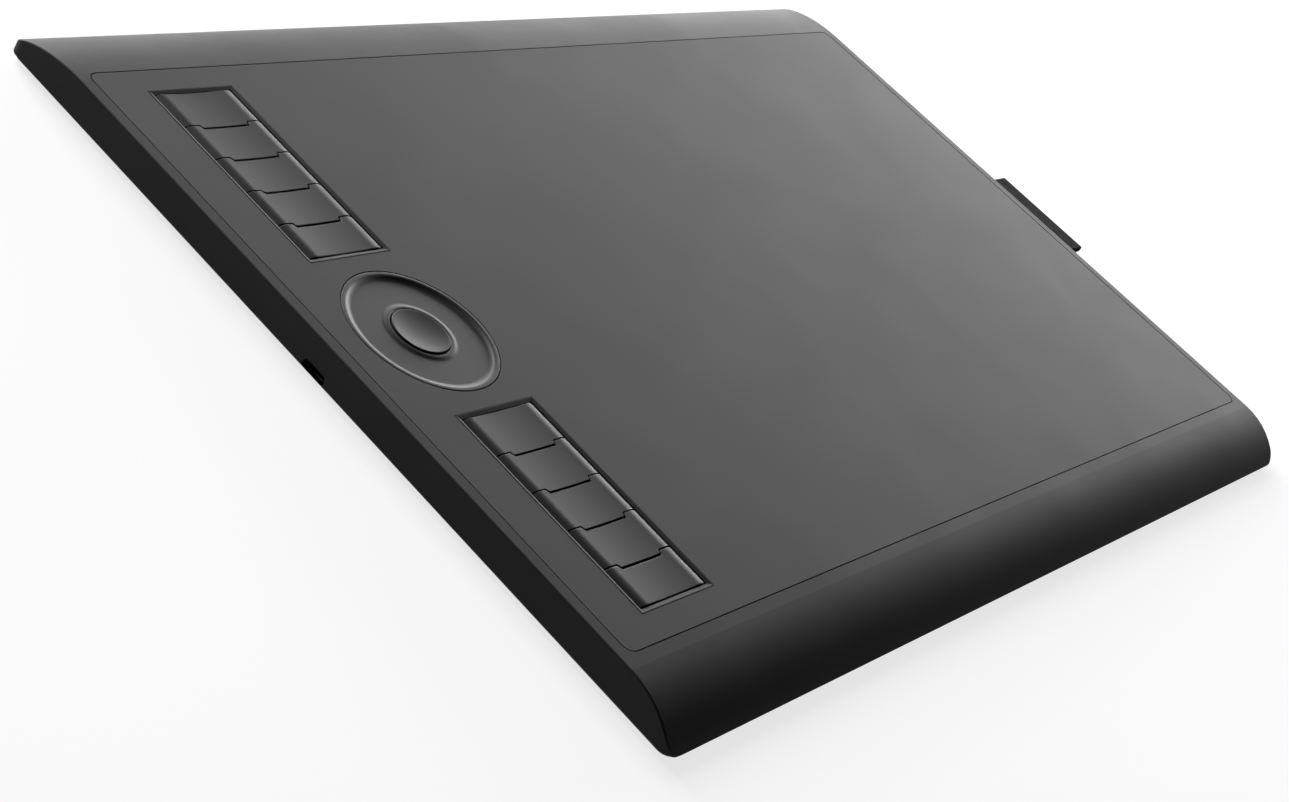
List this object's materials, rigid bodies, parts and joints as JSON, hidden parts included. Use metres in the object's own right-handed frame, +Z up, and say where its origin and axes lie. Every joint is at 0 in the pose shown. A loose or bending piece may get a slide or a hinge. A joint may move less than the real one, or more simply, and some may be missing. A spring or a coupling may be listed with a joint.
{
  "type": "graphics tablet",
  "caption": "Thin pen tablet with a large flat work surface, two blocks of push keys, a touch ring with a centre button and a fabric pen loop on its right wall.",
  "frame": {"origin": "middle of the centre foot's face, on the desk under the middle of the case", "axes": "+X along the long side towards the pen loop, +Y towards the rear edge, +Z up from the desk"},
  "size_m": [0.3774, 0.2418, 0.0108],
  "materials": {
    "casing": "fine texture, satin",
    "casing_base": "fine texture, matte",
    "drawing_sheet": "fine paper-like tooth",
    "key_plastic": "satin",
    "ring_plastic": "satin",
    "guide_plastic": "plain",
    "webbing": "woven strap",
    "foot_rubber": "soft, matte",
    "screw_steel": "zinc-coated",
    "board_laminate": "solder-masked",
    "chip_package": "moulded",
    "crystal_can": "pressed can",
    "capacitor_body": "ceramic",
    "switch_housing": "pressed cover",
    "switch_plunger": "moulded",
    "shield_metal": "bare sheet",
    "ribbon_film": "flat cable",
    "connector_plastic": "moulded",
    "socket_shell": "tin-plated",
    "contact_metal": "plated",
    "clamp_plastic": "moulded"
  },
  "bodies": {
    "case": {"top_cover": "casing", "bottom_cover": "casing_base", "work_surface": "drawing_sheet", "touch_ring": "ring_plastic", "ring_board": "board_laminate", "ring_contacts": "contact_metal", "centre_switch": "switch_housing", "rear_switches": "switch_housing", "front_switches": "switch_housing", "rear_key_guide": "guide_plastic", "front_key_guide": "guide_plastic", "guide_screws": "screw_steel", "main_board": "board_laminate", "control_chip": "chip_package", "small_chips": "chip_package", "clock_crystal": "crystal_can", "chip_capacitors": "capacitor_body", "sensor_board": "board_laminate", "shield_plate": "shield_metal", "ribbon_cable": "ribbon_film", "ribbon_connector": "connector_plastic", "usb_socket": "socket_shell", "usb_tongue": "connector_plastic", "pen_loop": "webbing", "loop_clamp": "clamp_plastic", "loop_screws": "screw_steel", "rubber_feet": "foot_rubber", "case_screws": "screw_steel", "board_screws": "screw_steel"},
    "rear_key_1": {"rear_key_1": "key_plastic", "rear_plunger_1": "switch_plunger"},
    "rear_key_2": {"rear_key_2": "key_plastic", "rear_plunger_2": "switch_plunger"},
    "rear_key_3": {"rear_key_3": "key_plastic", "rear_plunger_3": "switch_plunger"},
    "rear_key_4": {"rear_key_4": "key_plastic", "rear_plunger_4": "switch_plunger"},
    "rear_key_5": {"rear_key_5": "key_plastic", "rear_plunger_5": "switch_plunger"},
    "front_key_1": {"front_key_1": "key_plastic", "front_plunger_1": "switch_plunger"},
    "front_key_2": {"front_key_2": "key_plastic", "front_plunger_2": "switch_plunger"},
    "front_key_3": {"front_key_3": "key_plastic", "front_plunger_3": "switch_plunger"},
    "front_key_4": {"front_key_4": "key_plastic", "front_plunger_4": "switch_plunger"},
    "front_key_5": {"front_key_5": "key_plastic", "front_plunger_5": "switch_plunger"},
    "centre_button": {"centre_button": "ring_plastic", "centre_plunger": "switch_plunger"}
  },
  "joints": [
    {"name": "press_rear_key_1", "type": "slide", "parent": "case", "child": "rear_key_1", "axis": [0, 0, -1], "range_m": [0, 0.0005], "stiffness_N_per_m": 1200},
    {"name": "press_rear_key_2", "type": "slide", "parent": "case", "child": "rear_key_2", "axis": [0, 0, -1], "range_m": [0, 0.0005], "stiffness_N_per_m": 1200},
    {"name": "press_rear_key_3", "type": "slide", "parent": "case", "child": "rear_key_3", "axis": [0, 0, -1], "range_m": [0, 0.0005], "stiffness_N_per_m": 1200},
    {"name": "press_rear_key_4", "type": "slide", "parent": "case", "child": "rear_key_4", "axis": [0, 0, -1], "range_m": [0, 0.0005], "stiffness_N_per_m": 1200},
    {"name": "press_rear_key_5", "type": "slide", "parent": "case", "child": "rear_key_5", "axis": [0, 0, -1], "range_m": [0, 0.0005], "stiffness_N_per_m": 1200},
    {"name": "press_front_key_1", "type": "slide", "parent": "case", "child": "front_key_1", "axis": [0, 0, -1], "range_m": [0, 0.0005], "stiffness_N_per_m": 1200},
    {"name": "press_front_key_2", "type": "slide", "parent": "case", "child": "front_key_2", "axis": [0, 0, -1], "range_m": [0, 0.0005], "stiffness_N_per_m": 1200},
    {"name": "press_front_key_3", "type": "slide", "parent": "case", "child": "front_key_3", "axis": [0, 0, -1], "range_m": [0, 0.0005], "stiffness_N_per_m": 1200},
    {"name": "press_front_key_4", "type": "slide", "parent": "case", "child": "front_key_4", "axis": [0, 0, -1], "range_m": [0, 0.0005], "stiffness_N_per_m": 1200},
    {"name": "press_front_key_5", "type": "slide", "parent": "case", "child": "front_key_5", "axis": [0, 0, -1], "range_m": [0, 0.0005], "stiffness_N_per_m": 1200},
    {"name": "press_centre_button", "type": "slide", "parent": "case", "child": "centre_button", "axis": [0, 0, -1], "range_m": [0, 0.0005], "stiffness_N_per_m": 1200}
  ]
}
